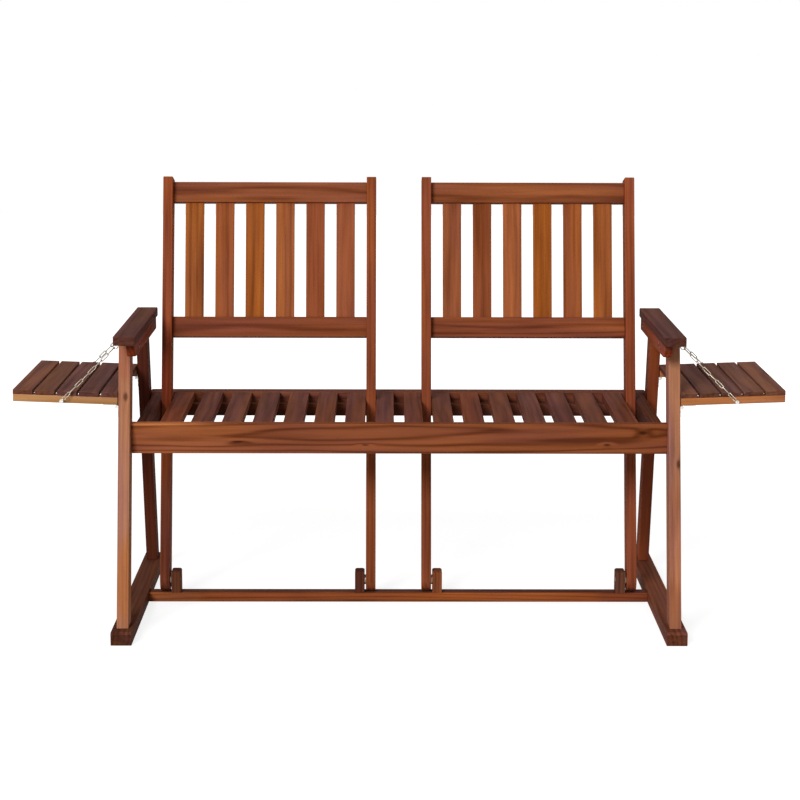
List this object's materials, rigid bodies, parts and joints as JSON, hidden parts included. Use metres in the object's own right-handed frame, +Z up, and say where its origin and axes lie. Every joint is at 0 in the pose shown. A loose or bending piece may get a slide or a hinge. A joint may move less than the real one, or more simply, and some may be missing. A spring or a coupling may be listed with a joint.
{
  "type": "companion seat bench",
  "caption": "Hardwood patio bench for two: one slatted seat on sledge legs, two separate folding slatted backs and a small drop-down tray hung on chains outside each armrest.",
  "frame": {"origin": "on the floor, half way along the bench and half way along the runners", "axes": "+X along the bench to the sitter's left as seen from behind, that is to the right in a front view; the front faces -Y; +Z is up"},
  "size_m": [1.5984, 0.66, 0.9176],
  "materials": {
    "dark_timber": "oiled dark red-brown hardwood with open grain",
    "red_timber": "oiled red-brown hardwood with wavy grain",
    "gold_timber": "oiled golden hardwood with bold figure",
    "pink_timber": "oiled pinkish brown hardwood",
    "pale_timber": "oiled light orange hardwood",
    "zinc_steel": "bright zinc-plated steel"
  },
  "bodies": {
    "frame": {"left_runner": "dark_timber", "right_runner": "dark_timber", "left_front_leg": "pink_timber", "right_front_leg": "pink_timber", "left_rear_leg": "pink_timber", "right_rear_leg": "pink_timber", "left_arm_rail": "red_timber", "right_arm_rail": "red_timber", "left_armrest": "dark_timber", "right_armrest": "dark_timber", "lower_stretcher": "gold_timber", "pivot_blocks": "gold_timber", "front_apron": "red_timber", "rear_rail": "red_timber", "left_side_rail": "red_timber", "right_side_rail": "red_timber", "back_stop_rail": "red_timber", "seat_slat_01": "dark_timber", "seat_slat_02": "dark_timber", "seat_slat_03": "dark_timber", "seat_slat_04": "dark_timber", "seat_slat_05": "dark_timber", "seat_slat_06": "dark_timber", "seat_slat_07": "dark_timber", "seat_slat_08": "dark_timber", "seat_slat_09": "dark_timber", "seat_slat_10": "dark_timber", "seat_slat_11": "dark_timber", "seat_slat_12": "dark_timber", "seat_slat_13": "dark_timber", "seat_slat_14": "dark_timber", "seat_slat_15": "dark_timber", "seat_slat_16": "dark_timber", "leg_leaves": "zinc_steel", "hinge_pins": "zinc_steel", "chain_eyes": "zinc_steel", "bolts": "zinc_steel", "pivot_washers": "zinc_steel", "pivot_nuts": "zinc_steel", "wood_screws": "zinc_steel"},
    "left_back": {"left_back_outer_post": "red_timber", "left_back_inner_post": "red_timber", "left_back_top_rail": "red_timber", "left_back_lower_rail": "red_timber", "left_back_slats": "gold_timber"},
    "right_back": {"right_back_outer_post": "red_timber", "right_back_inner_post": "red_timber", "right_back_top_rail": "red_timber", "right_back_lower_rail": "red_timber", "right_back_slats": "gold_timber"},
    "left_tray": {"left_tray_boards": "dark_timber", "left_tray_battens": "pale_timber", "left_tray_leaves": "zinc_steel", "left_tray_screws": "zinc_steel"},
    "right_tray": {"right_tray_boards": "dark_timber", "right_tray_battens": "pale_timber", "right_tray_leaves": "zinc_steel", "right_tray_screws": "zinc_steel"},
    "left_chain_pair": {"left_chains": "zinc_steel"},
    "right_chain_pair": {"right_chains": "zinc_steel"}
  },
  "joints": [
    {"name": "left_back_fold", "type": "hinge", "parent": "frame", "child": "left_back", "pos_m": [-0.28775, 0.015, 0.048], "axis": [1, 0, 0], "range_deg": [0, 34]},
    {"name": "right_back_fold", "type": "hinge", "parent": "frame", "child": "right_back", "pos_m": [0.28775, 0.015, 0.048], "axis": [1, 0, 0], "range_deg": [0, 34]},
    {"name": "left_tray_drop", "type": "hinge", "parent": "frame", "child": "left_tray", "pos_m": [-0.5855, -0.011, 0.4725], "axis": [0, -1, 0], "range_deg": [0, 94]},
    {"name": "right_tray_drop", "type": "hinge", "parent": "frame", "child": "right_tray", "pos_m": [0.5855, -0.011, 0.4725], "axis": [0, 1, 0], "range_deg": [0, 94]},
    {"name": "left_chain_swing", "type": "hinge", "parent": "frame", "child": "left_chain_pair", "pos_m": [-0.589, 0.002, 0.594], "axis": [0, -1, 0], "range_deg": [0, 45]},
    {"name": "right_chain_swing", "type": "hinge", "parent": "frame", "child": "right_chain_pair", "pos_m": [0.589, 0.002, 0.594], "axis": [0, 1, 0], "range_deg": [0, 45]}
  ],
  "couplings": [
    {"joint": "left_chain_swing", "follows": "left_tray_drop", "ratio": 0.478},
    {"joint": "right_chain_swing", "follows": "right_tray_drop", "ratio": 0.478}
  ]
}
